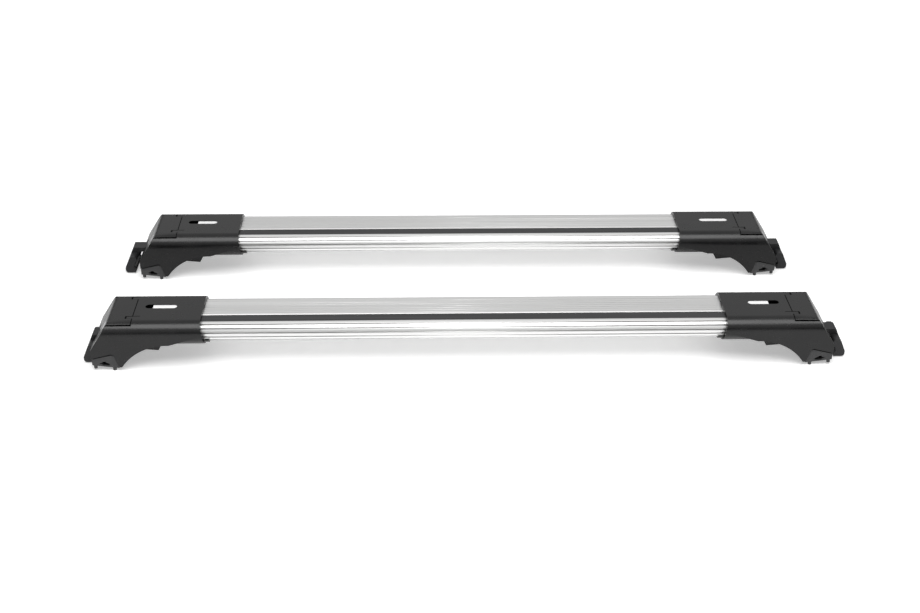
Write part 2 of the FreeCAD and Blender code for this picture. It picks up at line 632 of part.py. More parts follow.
EARS = {"front": "-ear_front", "rear": "ear_rear"}
ears = [ear_block(f"hinge_ear_{end}", middle, "0", f"{HATCH_START} - over", f"{PIN_PLACE} + knuckle_radius",
                  f"{PIN_HEIGHT} - ear_foot", f"{FOOT_TOP} - ear_drop") for end, middle in EARS.items()]
pin_hole = rod("pin_hole", "pin_radius + pin_gap", "pin_front + pin_rear + 2 * pin_gap", Y_AXIS,
               (PIN_PLACE, "-pin_front - pin_gap", PIN_HEIGHT))
foot_housing = cut("foot_housing", fuse("foot_with_ears", hollow_foot, *ears), pin_hole)

hatch_blank = block("hatch_blank", (f"{HATCH_START} + seam_gap", "-hatch_front", HATCH_FOOT),
                    (BIG, "hatch_rear", f"{FOOT_TOP} + over"))
hatch_solid = common("hatch_solid", foot_solid, hatch_blank)
hatch_skin = cut("hatch_skin", hatch_solid, hatch_form("hatch_inside", "hatch_wall"))
knuckle = rod("hatch_knuckle", "knuckle_radius", "hatch_front + hatch_rear", Y_AXIS,
              (PIN_PLACE, "-hatch_front", PIN_HEIGHT))
notch_end = f"{PIN_PLACE} + 2 * knuckle_radius"
notches = [ear_block(f"hatch_notch_{end}", middle, "ear_gap", HATCH_START, notch_end, HATCH_FOOT,
                     f"{FOOT_TOP} + over") for end, middle in EARS.items()]
lock_hole = lock_rod("lock_hole", "lock_radius + lock_gap", "lock_length")
hatch = cut("hatch", fuse("hatch_body", hatch_skin, common("hatch_hinge", knuckle, section)),
            *notches, pin_hole, lock_hole)
hinge_pin = rod("hinge_pin", "pin_radius", "pin_front + pin_rear", Y_AXIS,
                (PIN_PLACE, "-pin_front", PIN_HEIGHT))

lock_blank = lock_rod("lock_blank", "lock_radius", "lock_length")
keyway_body = prism("lock_keyway", "YZ_Plane", box_corners(
    "-key_width / 2", "-key_height / 2", "key_width / 2", "key_height / 2"), "2 * key_depth", both=False)
keyway_body.Placement = FreeCAD.Placement(Vector(), FreeCAD.Rotation(Y_AXIS, 1))
lock_barrel = cut("lock_barrel", lock_blank, sloped(keyway_body, "key_depth"))
lock_cam = prism("lock_cam", "YZ_Plane", box_corners(
    "-cam_width / 2", "-cam_reach", "cam_width / 2", "cam_width / 2"), "cam_thick", both=False)
lock_cam.Placement = FreeCAD.Placement(Vector(), FreeCAD.Rotation(Y_AXIS, 1))
sloped(lock_cam, "lock_length + cam_thick")

slab_corners, slab_arcs = jaw_side()
slab = prism("jaw_slab", "XZ_Plane", slab_corners, "2 * jaw_half", slab_arcs)
neck_foot = "jaw_top - neck_drop"
neck = prism("jaw_neck", "XZ_Plane", [
    (jaw_line(neck_foot), neck_foot), (jaw_line(neck_foot, "jaw_thick"), neck_foot),
    (jaw_line(ARM_TOP, "jaw_thick"), ARM_TOP), (jaw_line(ARM_TOP), ARM_TOP)], "2 * arm_half")
arm_start = (LUG_START, "-arm_half", "arm_foot")
arm = block("jaw_arm", arm_start, (jaw_line(ARM_TOP, "jaw_thick / 2"), "arm_half", ARM_TOP))
lug = block("jaw_lug", arm_start, (f"{LUG_START} + lug_thick", "arm_half", LUG_TOP))
lug_hole = rod("jaw_lug_hole", "bolt_radius + bolt_gap", "lug_thick + 2 * over", X_AXIS,
               (f"{LUG_START} - over", "0", BOLT_HEIGHT))
nut_blank = block("nut_blank", (LUG_START, "-nut_width / 2", f"{BOLT_HEIGHT} - nut_width / 2"),
                  (f"{LUG_START} + nut_thick", "nut_width / 2", f"{BOLT_HEIGHT} + nut_width / 2"))
clamp_jaw = cut("clamp_jaw", fuse("jaw_body", slab, neck, arm, lug), lug_hole, nut_blank)
clamp_nut = cut("clamp_nut", nut_blank, lug_hole)
jaw_pad_top = "jaw_top - jaw_round - jaw_pad_drop"
jaw_pad_foot = "jaw_foot + hook_height"
jaw_pad = prism("jaw_pad", "XZ_Plane", [
    (jaw_line(jaw_pad_top), jaw_pad_top), (jaw_line(jaw_pad_foot), jaw_pad_foot),
    (jaw_line(jaw_pad_foot, "-jaw_pad_thick"), jaw_pad_foot),
    (jaw_line(jaw_pad_top, "-jaw_pad_thick"), jaw_pad_top)], "2 * jaw_pad_half")

bolt_line = ("0", BOLT_HEIGHT)
bolt_shank = rod("bolt_shank", "bolt_radius", "bolt_length", X_AXIS,
                 (f"{BOLT_SEAT} - bolt_length",) + bolt_line)
bolt_flange = rod("bolt_flange", "flange_radius", "flange_thick", X_AXIS, (BOLT_SEAT,) + bolt_line)
bolt_head = rod("bolt_head", "head_radius", "flange_thick + head_length", X_AXIS, (BOLT_SEAT,) + bolt_line)
socket = doc.addObject("Part::Prism", "bolt_socket")
socket.Polygon = 6
socket.setExpression("Circumradius", bound("socket_flats / sqrt(3)"))
socket.setExpression("Height", bound("socket_depth + over"))
socket.Placement = FreeCAD.Placement(Vector(), FreeCAD.Rotation(Z_AXIS, X_AXIS))
move(socket, x=f"{BOLT_SEAT} + flange_thick + head_length - socket_depth", y="0", z=BOLT_HEIGHT)
clamp_bolt = cut("clamp_bolt", fuse("bolt_body", bolt_shank, bolt_flange, bolt_head), socket)
bracket_hole = rod("bracket_hole", "bolt_radius + bolt_gap", "bracket_thick + 2 * over", X_AXIS,
                   (f"{BRACKET_START} - over",) + bolt_line)
bolt_bracket = cut("bolt_bracket", block(
    "bracket_plate", (BRACKET_START, "-bay_half - bracket_seat", "bay_floor"),
    (BOLT_SEAT, "bay_half + bracket_seat", f"{BOLT_HEIGHT} + bracket_rise")), bracket_hole)

saddle_blank = prism("saddle_blank", "XZ_Plane", [
    (TOE_OUTER, "saddle_foot"), (END_OUT, "saddle_foot + saddle_rise"), (END_OUT, "arch_height + over"),
    (TOE_OUTER, "arch_height + over")], f"2 * ({FOOT_SIDE} - saddle_inset)")
hollow_start = f"({TOE_OUTER} + hollow_run)"
hollow_peak = f"{hollow_start} + hollow_length / 2"
saddle_hollow = prism("saddle_hollow", "XZ_Plane", [
    (hollow_start, "hollow_base"), (f"{hollow_start} + hollow_length", "hollow_base + hollow_rise")], BIG,
    {0: ((hollow_peak, "hollow_base"), "hollow_floor_radius"),
     1: ((hollow_peak, "hollow_base + hollow_height"), "hollow_roof_radius")})
saddle_body = cut("saddle_body", saddle_blank, side, saddle_hollow, jaw_pocket)
nubs = []
NUBS = [("outer", "nub_run", "nub_offset", "0", "saddle_foot"),
        ("inner", "nub_run", "nub_inner", "0", "saddle_foot"),
        ("second", "nub_run + nub_step", "nub_offset", "nub_lift", "saddle_foot + saddle_rise")]
for name, run, place, lift, pad_height in NUBS:
    nub = rod(f"saddle_nub_{name}", "nub_radius", f"{pad_height} + nub_root - {lift}", Z_AXIS,
              (f"{TOE_OUTER} + {run}", place, lift))
    nubs.append(pair(nub.Name + "_pair", nub))
saddle_pad = fuse("saddle_pad", saddle_body, *nubs)

block_end = f"{SLEEVE_STOP} + block_ahead"
clamp_blank = prism("bar_clamp_blank", "XZ_Plane", [
    (f"{SLEEVE_STOP} - block_back", FOOT_BASE), (f"{SLEEVE_STOP} - block_nose", BLOCK_FOOT),
    (block_end, f"{BLOCK_FOOT} + block_rise"), (block_end, FOOT_BASE)], "2 * block_half")
head_room = rod("bar_clamp_head_room", "screw_head + screw_gap", SCREW_SEAT, Z_AXIS,
                (SCREW_PLACE, "0", "0"))
bar_clamp = cut("bar_clamp", clamp_blank, side, screw_hole, head_room)
screw_shank = rod("screw_shank", "screw_radius", f"bar_base - screw_clear - {SCREW_SEAT}", Z_AXIS,
                  (SCREW_PLACE, "0", SCREW_SEAT))
screw_top = rod("screw_head_part", "screw_head", "screw_head_length", Z_AXIS,
                (SCREW_PLACE, "0", f"{SCREW_SEAT} - screw_head_length"))
bar_clamp_screw = fuse("bar_clamp_screw", screw_shank, screw_top)

PAIR_SHIFT = "(front_left_jaw - front_right_jaw) / 2"
PIECES = [foot_housing, hatch, hinge_pin, lock_barrel, lock_cam, clamp_jaw, clamp_nut, jaw_pad, clamp_bolt,
          bolt_bracket, saddle_pad, bar_clamp, bar_clamp_screw]
MOVED_BY_JAW = (clamp_jaw, clamp_nut, jaw_pad)
nodes = []
for row_name, way in (("front", "-"), ("rear", "")):
    row_place = f"{way}bar_pitch / 2"
    length = f"{row_name}_span + 2 * {SLEEVE_STOP} - {row_name}_left_gap - {row_name}_right_gap"
    left_end = f"{row_name}_left_gap - {row_name}_span / 2 - {SLEEVE_STOP} + {PAIR_SHIFT}"
    right_end = f"{row_name}_span / 2 + {SLEEVE_STOP} - {row_name}_right_gap + {PAIR_SHIFT}"
    bar_node = bar(f"{row_name}_bar", length)
    strip_node = prism(f"{row_name}_bar_strip", "YZ_Plane", strip_section(), length, both=False)
    for node in (bar_node, strip_node):
        nodes.append(move(node, x=left_end, y=row_place))
    low = f"label_offset - label_width / 2 + ({row_place})"
    high = f"label_offset + label_width / 2 + ({row_place})"
    label_top = f"{BAR_TOP} + label_thick"
    inner_left = f"-{row_name}_span / 2 - label_start + {PAIR_SHIFT}"
    inner_right = f"{row_name}_span / 2 + label_start + {PAIR_SHIFT}"
    labels = doc.addObject("Part::Compound", f"{row_name}_bar_labels")
    labels.Links = [
        block(f"{row_name}_left_label", (left_end, low, BAR_TOP), (inner_left, high, label_top)),
        block(f"{row_name}_right_label", (inner_right, low, BAR_TOP), (right_end, high, label_top))]
    nodes.append(labels)
for piece in PIECES:
    image = doc.addObject("Part::Mirroring", piece.Name + "_left_hand")
    image.Source = piece
    image.Normal = X_AXIS
    for row_name, way in (("front", "-"), ("rear", "")):
        for hand, sign, source in (("left", "-", image), ("right", "", piece)):
            node = doc.addObject("Part::Compound", f"{row_name}_{hand}_{piece.Name}")
            node.Links = [source]
            stand = f" + {row_name}_{hand}_jaw" if piece in MOVED_BY_JAW else ""
            stand_place = f"{sign}({row_name}_span / 2{stand}) + {PAIR_SHIFT}"
            nodes.append(move(node, x=stand_place, y=f"{way}bar_pitch / 2"))
sheet.clear(WORK_CELL)
doc.recompute()

for item in doc.Objects:
    if "Invalid" in item.State or "Error" in item.State:
        raise ValueError(f"{item.Name} failed: {item.State}")
for node in nodes:
    node.Label = node.Name
    if node.Shape.isNull() or not node.Shape.isValid() or not node.Shape.Solids:
        raise ValueError(f"{node.Label} has no valid solid")
os.makedirs("parts", exist_ok=True)
for node in nodes:
    node.Shape.exportStep(f"parts/{node.Label}.step")
print(len(nodes), "pieces written")
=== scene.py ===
import math
import bpy
from mathutils import Matrix, Vector


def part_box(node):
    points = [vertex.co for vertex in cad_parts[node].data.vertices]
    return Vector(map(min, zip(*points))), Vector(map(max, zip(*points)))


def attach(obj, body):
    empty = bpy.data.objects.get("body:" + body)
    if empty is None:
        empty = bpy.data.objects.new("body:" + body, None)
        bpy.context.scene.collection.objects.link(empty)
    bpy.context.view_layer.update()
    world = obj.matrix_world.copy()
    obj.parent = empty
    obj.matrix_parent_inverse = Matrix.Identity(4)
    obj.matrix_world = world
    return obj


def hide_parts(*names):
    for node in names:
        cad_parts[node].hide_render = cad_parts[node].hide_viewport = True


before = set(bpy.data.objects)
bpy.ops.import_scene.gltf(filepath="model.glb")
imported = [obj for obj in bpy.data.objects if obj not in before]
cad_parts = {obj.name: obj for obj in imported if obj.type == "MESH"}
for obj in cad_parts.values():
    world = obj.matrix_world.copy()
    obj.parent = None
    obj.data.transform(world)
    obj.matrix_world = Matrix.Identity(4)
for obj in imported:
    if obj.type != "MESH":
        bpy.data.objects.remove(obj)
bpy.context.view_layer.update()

bpy.ops.object.select_all(action="DESELECT")


# The two bars: hollow aluminium wings, extruded with ridges round the nose and fine lines on top,
# then satin anodised. The extrusion leaves faint streaks along the whole length.
ROWS = {"front": -1.0, "rear": 1.0}
BAR_PITCH = 0.243
NOSE_HEIGHT = 0.0525
NOSE_SETBACK = 0.0265
GROOVE_PITCH = math.radians(25)
HALF_PITCH = 0.5
GROOVE_SHARE = 0.1
GROOVE_START = 0.002
# Painted shade: the darker colour laid into the nose's grooves.
GROOVE_PAINTED_SHADE = (0.60, 0.60, 0.595, 1.0)
STREAK_STRETCH = (0.004, 1.0, 1.0)
STREAK_WIDTH = 1400.0
STREAK_DETAIL = 3.0
GRAIN_SCALE = 3000.0
NOISE_SPAN = (0.3, 0.7)
SATIN_TONES = ((0.72, 0.72, 0.715), (0.79, 0.79, 0.785))
SATIN_GLOSS = (0.36, 0.44)
SATIN_BUMP = 0.05
SATIN_BUMP_DEPTH = 0.0002
MERGE_GAP = 0.00001
FLAT_ANGLE = math.radians(0.5)
LINES_FROM = -0.009
LINES_REACH = 0.0006
LINES_KEPT = 0.35
BAR_SMOOTH = math.radians(25)


def shader_group(name, entry, start, exits):
    """A new shader group: the group, the number that goes in, and the places of those that come out."""
    group = bpy.data.node_groups.new(name, "ShaderNodeTree")
    item = group.interface.new_socket(name=entry, in_out="INPUT", socket_type="NodeSocketFloat")
    item.default_value = start
    for exit_name in exits:
        group.interface.new_socket(name=exit_name, in_out="OUTPUT", socket_type="NodeSocketFloat")
    enter = group.nodes.new("NodeGroupInput")
    leave = group.nodes.new("NodeGroupOutput")
    return group, enter.outputs[entry], leave.inputs


def figure(tree, operation, *values):
    """The result of a math node that is fed by numbers or by other nodes."""
    step = tree.nodes.new("ShaderNodeMath")
    step.operation = operation
    for entry, value in zip(step.inputs, values):
        if isinstance(value, float):
            entry.default_value = value
        else:
            tree.links.new(value, entry)
    return step.outputs["Value"]


def drawn_streaks():
    """Shader group: long streaks along X, as a die draws them, with a fine grain between them."""
    group, width, leave = shader_group("drawn_streaks", "Width", STREAK_WIDTH, ("Streak", "Grain"))
    place = group.nodes.new("ShaderNodeTexCoord")
    stretch = group.nodes.new("ShaderNodeMapping")
    stretch.inputs["Scale"].default_value = STREAK_STRETCH
    streak = group.nodes.new("ShaderNodeTexNoise")
    streak.inputs["Detail"].default_value = STREAK_DETAIL
    grain = group.nodes.new("ShaderNodeTexNoise")
    grain.inputs["Scale"].default_value = GRAIN_SCALE
    group.links.new(place.outputs["Object"], stretch.inputs["Vector"])
    group.links.new(stretch.outputs["Vector"], streak.inputs["Vector"])
    group.links.new(width, streak.inputs["Scale"])
    group.links.new(place.outputs["Object"], grain.inputs["Vector"])
    group.links.new(streak.outputs["Fac"], leave["Streak"])
    group.links.new(grain.outputs["Fac"], leave["Grain"])
    return group


def nose_groove_shade():
    """Shader group: a mask of the grooves round the bar's nose, by the angle about the nose's middle, where
    painted shade goes.
    """
    group, middle, leave = shader_group("nose_groove_shade", "Middle", 0.0, ("Groove",))
    place = group.nodes.new("ShaderNodeTexCoord")
    split = group.nodes.new("ShaderNodeSeparateXYZ")
    group.links.new(place.outputs["Object"], split.inputs["Vector"])
    ahead = figure(group, "SUBTRACT", middle, split.outputs["Y"])
    above = figure(group, "SUBTRACT", split.outputs["Z"], NOSE_HEIGHT)
    turn = figure(group, "DIVIDE", figure(group, "ARCTAN2", ahead, above), GROOVE_PITCH)
    off_line = figure(group, "PINGPONG", turn, HALF_PITCH)
    on_line = figure(group, "LESS_THAN", off_line, GROOVE_SHARE)
    on_nose = figure(group, "GREATER_THAN", ahead, GROOVE_START)
    group.links.new(figure(group, "MULTIPLY", on_line, on_nose), leave["Groove"])
    return group


def textured(name, group):
    """A new node material with a shader group in it: the material, its tree, its shader, the group's node."""
    made = bpy.data.materials.new(name)
    made.use_nodes = True
    tree = made.node_tree
    texture = tree.nodes.new("ShaderNodeGroup")
    texture.node_tree = group
    return made, tree, tree.nodes["Principled BSDF"], texture


def ramp(tree, mask, low, high):
    """The colour of a ramp between two colours or two grey levels, over the middle of a noise's range."""
    made = tree.nodes.new("ShaderNodeValToRGB")
    for stop, place, tone in zip(made.color_ramp.elements, NOISE_SPAN, (low, high)):
        stop.position = place
        stop.color = (tone, tone, tone, 1.0) if isinstance(tone, float) else (*tone, 1.0)
    tree.links.new(mask, made.inputs["Fac"])
    return made.outputs["Color"]


def roughen(tree, shader, height, strength, depth):
    """Break the shader's normal up by a bump."""
    made = tree.nodes.new("ShaderNodeBump")
    made.inputs["Strength"].default_value = strength
    made.inputs["Distance"].default_value = depth
    tree.links.new(height, made.inputs["Height"])
    tree.links.new(made.outputs["Normal"], shader.inputs["Normal"])


def anodised(name, middle):
    """Satin anodised aluminium: streaked along the bar, with painted shade darkening the nose's grooves."""
    made, tree, shader, lines = textured(name, streaks)
    nose = tree.nodes.new("ShaderNodeGroup")
    nose.node_tree = grooves
    nose.inputs["Middle"].default_value = middle
    # Painted shade: the groove mask mixes the darker colour into the base colour.
    shade = tree.nodes.new("ShaderNodeMix")
    shade.data_type = "RGBA"
    shade.inputs["B"].default_value = GROOVE_PAINTED_SHADE
    tree.links.new(nose.outputs["Groove"], shade.inputs["Factor"])
    tree.links.new(ramp(tree, lines.outputs["Streak"], *SATIN_TONES), shade.inputs["A"])
    tree.links.new(shade.outputs["Result"], shader.inputs["Base Color"])
    tree.links.new(ramp(tree, lines.outputs["Streak"], *SATIN_GLOSS), shader.inputs["Roughness"])
    roughen(tree, shader, lines.outputs["Grain"], SATIN_BUMP, SATIN_BUMP_DEPTH)
    shader.inputs["Metallic"].default_value = 1.0
    return made


def finish(node_names, made):
    """Give CAD nodes one finish in every material slot."""
    for name in node_names:
        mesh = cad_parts[name].data
        if not mesh.materials:
            mesh.materials.append(made)
        for index in range(len(mesh.materials)):
            mesh.materials[index] = made


def own_copy(name, ending):
    """A merged copy of a CAD piece's mesh, selected and active, to be reworked and stand in its place."""
    piece = bpy.data.objects.new(name + ending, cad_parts[name].data.copy())
    bpy.context.scene.collection.objects.link(piece)
    bpy.ops.object.select_all(action="DESELECT")
    bpy.context.view_layer.objects.active = piece
    piece.select_set(True)
    bpy.ops.object.mode_set(mode="EDIT")
    bpy.ops.mesh.select_all(action="SELECT")
    bpy.ops.mesh.remove_doubles(threshold=MERGE_GAP)
    bpy.ops.mesh.dissolve_limited(angle_limit=FLAT_ANGLE)
    bpy.ops.mesh.select_all(action="DESELECT")
    bpy.ops.object.mode_set(mode="OBJECT")
    return piece


def pick(piece, wanted):
    """Select, in edit mode, just the corners whose place is wanted."""
    bpy.ops.object.mode_set(mode="EDIT")
    bpy.ops.mesh.select_mode(type="VERT")
    bpy.ops.mesh.select_all(action="DESELECT")
    bpy.ops.object.mode_set(mode="OBJECT")
    for corner in piece.data.vertices:
        corner.select = wanted(corner.co)
    bpy.ops.object.mode_set(mode="EDIT")


def even_faces(piece, sharp):
    """Smooth the rounds and keep the broad faces flat."""
    bpy.ops.object.shade_smooth_by_angle(angle=sharp)
    piece.modifiers.new("even_faces", "WEIGHTED_NORMAL")
    bpy.ops.object.modifier_apply(modifier="even_faces")


def stands_for(piece, name, body):
    """The piece takes the CAD node's place on its body."""
    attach(piece, body)
    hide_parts(name)


streaks = drawn_streaks()
grooves = nose_groove_shade()
for row, way in ROWS.items():
    row_place = way * BAR_PITCH / 2
    finish([f"{row}_bar"], anodised(f"satin_anodised_{row}", row_place - NOSE_SETBACK))
    wing = own_copy(f"{row}_bar", "_drawn")
    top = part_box(f"{row}_bar")[1][2]
    pick(wing, lambda co: co.y > row_place + LINES_FROM and top - LINES_REACH < co.z < top - MERGE_GAP)
    bpy.ops.transform.resize(value=(1.0, 1.0, LINES_KEPT), center_override=(0.0, 0.0, top))
    bpy.ops.object.mode_set(mode="OBJECT")
    even_faces(wing, BAR_SMOOTH)
    stands_for(wing, f"{row}_bar", "bars")


# The infill strips: black rubber pressed into the T-slot, extruded with a dull skin
# that shows faint drag lines along its length.
STRIP_STREAKS = 900.0
STRIP_TONES = ((0.018, 0.018, 0.019), (0.036, 0.036, 0.037))
STRIP_GLOSS = (0.55, 0.75)
STRIP_BUMP = 0.2
STRIP_BUMP_DEPTH = 0.0003
rubber_strip, tree, shader, lines = textured("strip_rubber", streaks)
lines.inputs["Width"].default_value = STRIP_STREAKS
tree.links.new(ramp(tree, lines.outputs["Streak"], *STRIP_TONES), shader.inputs["Base Color"])
tree.links.new(ramp(tree, lines.outputs["Grain"], *STRIP_GLOSS), shader.inputs["Roughness"])
roughen(tree, shader, lines.outputs["Grain"], STRIP_BUMP, STRIP_BUMP_DEPTH)
finish([f"{row}_bar_strip" for row in ROWS], rubber_strip)


# The length labels: white satin film in narrow strips, stuck along both ends of each bar's top.
# The slot in each foot's top shows how far the foot is set.
LABEL_TONES = ((0.90, 0.90, 0.90), (0.95, 0.95, 0.95))
LABEL_ROUGHNESS = 0.35
label_film, tree, shader, lines = textured("label_film", streaks)
tree.links.new(ramp(tree, lines.outputs["Grain"], *LABEL_TONES), shader.inputs["Base Color"])
shader.inputs["Roughness"].default_value = LABEL_ROUGHNESS
finish([f"{row}_bar_labels" for row in ROWS], label_film)


# The foot housings, hatches and bar clamp blocks: black glass-filled plastic, moulded with a fine
# spark-eroded texture that breaks the highlights up.
FEET = [f"{row}_{hand}" for row in ROWS for hand in ("left", "right")]
PEBBLE_SCALE = 1600.0
PEBBLE_DETAIL = 2.0
SHEEN_SCALE = 40.0
SHEEN_DETAIL = 4.0
MOULD_BUMP_DEPTH = 0.0002
MOULD_SPECULAR = 0.36
PLASTIC_TONES = ((0.004, 0.004, 0.0042), (0.007, 0.007, 0.0073))
PLASTIC_GLOSS = (0.22, 0.30)
PLASTIC_BUMP = 0.3
PLASTIC_ROUND = 0.0008
ROUND_SEGMENTS = 2
SHARP_ANGLE = math.radians(32)
SEAM_EDGE = 0.0003
SEAM_SHOW = 0.0014


def moulded_grain():
    """Shader group: the fine pebbled grain of an eroded mould, and a broad uneven sheen."""
    group, size, leave = shader_group("moulded_grain", "Size", PEBBLE_SCALE, ("Pebble", "Sheen"))
    place = group.nodes.new("ShaderNodeTexCoord")
    pebble = group.nodes.new("ShaderNodeTexNoise")
    pebble.inputs["Detail"].default_value = PEBBLE_DETAIL
    sheen = group.nodes.new("ShaderNodeTexNoise")
    sheen.inputs["Scale"].default_value = SHEEN_SCALE
    sheen.inputs["Detail"].default_value = SHEEN_DETAIL
    for texture in (pebble, sheen):
        group.links.new(place.outputs["Object"], texture.inputs["Vector"])
    group.links.new(size, pebble.inputs["Scale"])
    group.links.new(pebble.outputs["Fac"], leave["Pebble"])
    group.links.new(sheen.outputs["Fac"], leave["Sheen"])
    return group


def moulded(name, tones, gloss, size, strength):
    """A moulded finish: two near tones, a range of roughness, and the grain's size and strength."""
    made, tree, shader, grain = textured(name, grain_group)
    grain.inputs["Size"].default_value = size
    tree.links.new(ramp(tree, grain.outputs["Sheen"], *tones), shader.inputs["Base Color"])
    tree.links.new(ramp(tree, grain.outputs["Sheen"], *gloss), shader.inputs["Roughness"])
    roughen(tree, shader, grain.outputs["Pebble"], strength, MOULD_BUMP_DEPTH)
    shader.inputs["Specular IOR Level"].default_value = MOULD_SPECULAR
    return made


def softened(name, body, width, rework=None):
    """Stand a copy of a CAD piece in its place, with its sharp edges rounded by a small radius."""
    piece = own_copy(name, "_soft")
    if rework:
        rework(piece)
        bpy.ops.object.mode_set(mode="OBJECT")
    edges = piece.modifiers.new("round_edges", "BEVEL")
    edges.width = width
    edges.segments = ROUND_SEGMENTS
    edges.limit_method = "ANGLE"
    edges.angle_limit = SHARP_ANGLE
    bpy.ops.object.modifier_apply(modifier="round_edges")
    even_faces(piece, SHARP_ANGLE)
    stands_for(piece, name, body)


def narrowed(piece):
    """Draw the hatch's two long edges in, so that its seam shows as a clear dark line."""
    sides = [corner.co.y for corner in piece.data.vertices]
    centre = (min(sides) + max(sides)) / 2
    half = (max(sides) - min(sides)) / 2
    pick(piece, lambda co: abs(co.y - centre) > half - SEAM_EDGE)
    bpy.ops.transform.resize(value=(1.0, 1.0 - SEAM_SHOW / half, 1.0), center_override=(0.0, centre, 0.0))


grain_group = moulded_grain()
plastic = moulded("moulded_plastic", PLASTIC_TONES, PLASTIC_GLOSS, PEBBLE_SCALE, PLASTIC_BUMP)
finish([f"{foot}_{piece}" for foot in FEET for piece in ("foot_housing", "hatch", "bar_clamp")], plastic)
for foot in FEET:
    softened(f"{foot}_foot_housing", f"{foot}_foot", PLASTIC_ROUND)
    softened(f"{foot}_hatch", f"{foot}_hatch_lid", PLASTIC_ROUND, narrowed)
    softened(f"{foot}_bar_clamp", f"{foot}_foot", PLASTIC_ROUND)


# The saddle pads and jaw pads: soft black rubber with a dull skin, moulded to fit the arch under each
# foot and pressed on the jaw's hook. A lens-shaped hollow lets the saddle give a little.
RUBBER_TONES = ((0.040, 0.040, 0.041), (0.056, 0.056, 0.057))
RUBBER_GLOSS = (0.42, 0.55)
RUBBER_GRAIN = 900.0
RUBBER_BUMP = 0.35
RUBBER_ROUND = 0.0008
LENS_RUN = 0.019
LENS_HEIGHT = 0.0123
LENS_HALF_LENGTH = 0.0095
LENS_HALF_HEIGHT = 0.003
LENS_CLOSED = (0.8, 1.0, 0.55)
PAD_DRAWN = (1.0, 1.0, 0.91)


def relieved(piece):
    """Part close the lens, and draw the pad in from the arch so that a dark line shows round it."""
    places = [corner.co.x for corner in piece.data.vertices]
    low = min(places)
    high = max(places)
    lens = Vector((low + LENS_RUN if places[0] > 0 else high - LENS_RUN, 0.0, LENS_HEIGHT))
    pick(piece, lambda co: abs(co.x - lens.x) < LENS_HALF_LENGTH and abs(co.z - lens.z) < LENS_HALF_HEIGHT)
    bpy.ops.transform.resize(value=LENS_CLOSED, center_override=lens)
    bpy.ops.mesh.select_all(action="SELECT")
    bpy.ops.transform.resize(value=PAD_DRAWN, center_override=((low + high) / 2, 0.0, 0.0))


rubber_pad = moulded("pad_rubber", RUBBER_TONES, RUBBER_GLOSS, RUBBER_GRAIN, RUBBER_BUMP)
finish([f"{foot}_{piece}" for foot in FEET for piece in ("saddle_pad", "jaw_pad")], rubber_pad)
for foot in FEET:
    softened(f"{foot}_saddle_pad", f"{foot}_foot", RUBBER_ROUND, relieved)
    softened(f"{foot}_jaw_pad", f"{foot}_jaw", RUBBER_ROUND)


# The clamp jaws: steel plate under a black powder coat with a slight orange peel, each on two small
# rubber buttons pushed into its lower edge.
POWDER_TONES = ((0.010, 0.010, 0.011), (0.016, 0.016, 0.017))
POWDER_GLOSS = (0.36, 0.48)
POWDER_GRAIN = 700.0
POWDER_BUMP = 0.5
JAW_ROUND = 0.0012
JAW_FOOT_BELOW = 0.0085
JAW_FOOT_DROP = 0.0032
BUTTON_SIDES = 20
BUTTON_RADIUS = 0.0022
BUTTON_FOOT = 0.0003
BUTTON_TOP = 0.0062
BUTTON_INSET = 0.0079
BUTTON_OFFSET = 0.02
BUTTON_ROUND = 0.0008
BUTTON_SEGMENTS = 3
BUTTON_SMOOTH = math.radians(40)


def outward(foot):
    """The way along X from the bar's middle to this foot's end."""
    return 1.0 if foot.endswith("right") else -1.0


def deepened(piece):
    """Draw the plate's lower edge down to just above the ground."""
    pick(piece, lambda co: co.z < JAW_FOOT_BELOW)
    bpy.ops.transform.translate(value=(0.0, 0.0, -JAW_FOOT_DROP))


powder = moulded("powder_coat", POWDER_TONES, POWDER_GLOSS, POWDER_GRAIN, POWDER_BUMP)
finish([f"{foot}_clamp_jaw" for foot in FEET], powder)
bpy.ops.object.select_all(action="DESELECT")
bpy.ops.mesh.primitive_circle_add(
    vertices=BUTTON_SIDES, radius=BUTTON_RADIUS, fill_type="NGON", location=(0.0, 0.0, BUTTON_FOOT))
button = bpy.context.object
bpy.ops.object.transform_apply(location=True)
bpy.ops.object.mode_set(mode="EDIT")
bpy.ops.mesh.select_all(action="SELECT")
bpy.ops.mesh.extrude_region_move(TRANSFORM_OT_translate={"value": (0.0, 0.0, BUTTON_TOP - BUTTON_FOOT)})
bpy.ops.mesh.select_all(action="SELECT")
bpy.ops.mesh.normals_make_consistent(inside=False)
bpy.ops.object.mode_set(mode="OBJECT")
foot_edge = button.modifiers.new("round_foot", "BEVEL")
foot_edge.width = BUTTON_ROUND
foot_edge.segments = BUTTON_SEGMENTS
bpy.ops.object.modifier_apply(modifier="round_foot")
bpy.ops.object.shade_smooth_by_angle(angle=BUTTON_SMOOTH)
button.data.materials.append(rubber_pad)
for foot in FEET:
    low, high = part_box(f"{foot}_clamp_jaw")
    edge = high[0] if outward(foot) > 0 else low[0]
    softened(f"{foot}_clamp_jaw", f"{foot}_jaw", JAW_ROUND, deepened)
    for side, side_name in ((-1, "near"), (1, "far")):
        place = (edge - outward(foot) * BUTTON_INSET, (low[1] + high[1]) / 2 + side * BUTTON_OFFSET, 0.0)
        copy = bpy.data.objects.new(f"{foot}_jaw_button_{side_name}", button.data.copy())
        copy.data.transform(Matrix.Translation(place))
        bpy.context.scene.collection.objects.link(copy)
        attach(copy, f"{foot}_jaw")
bpy.data.objects.remove(button)


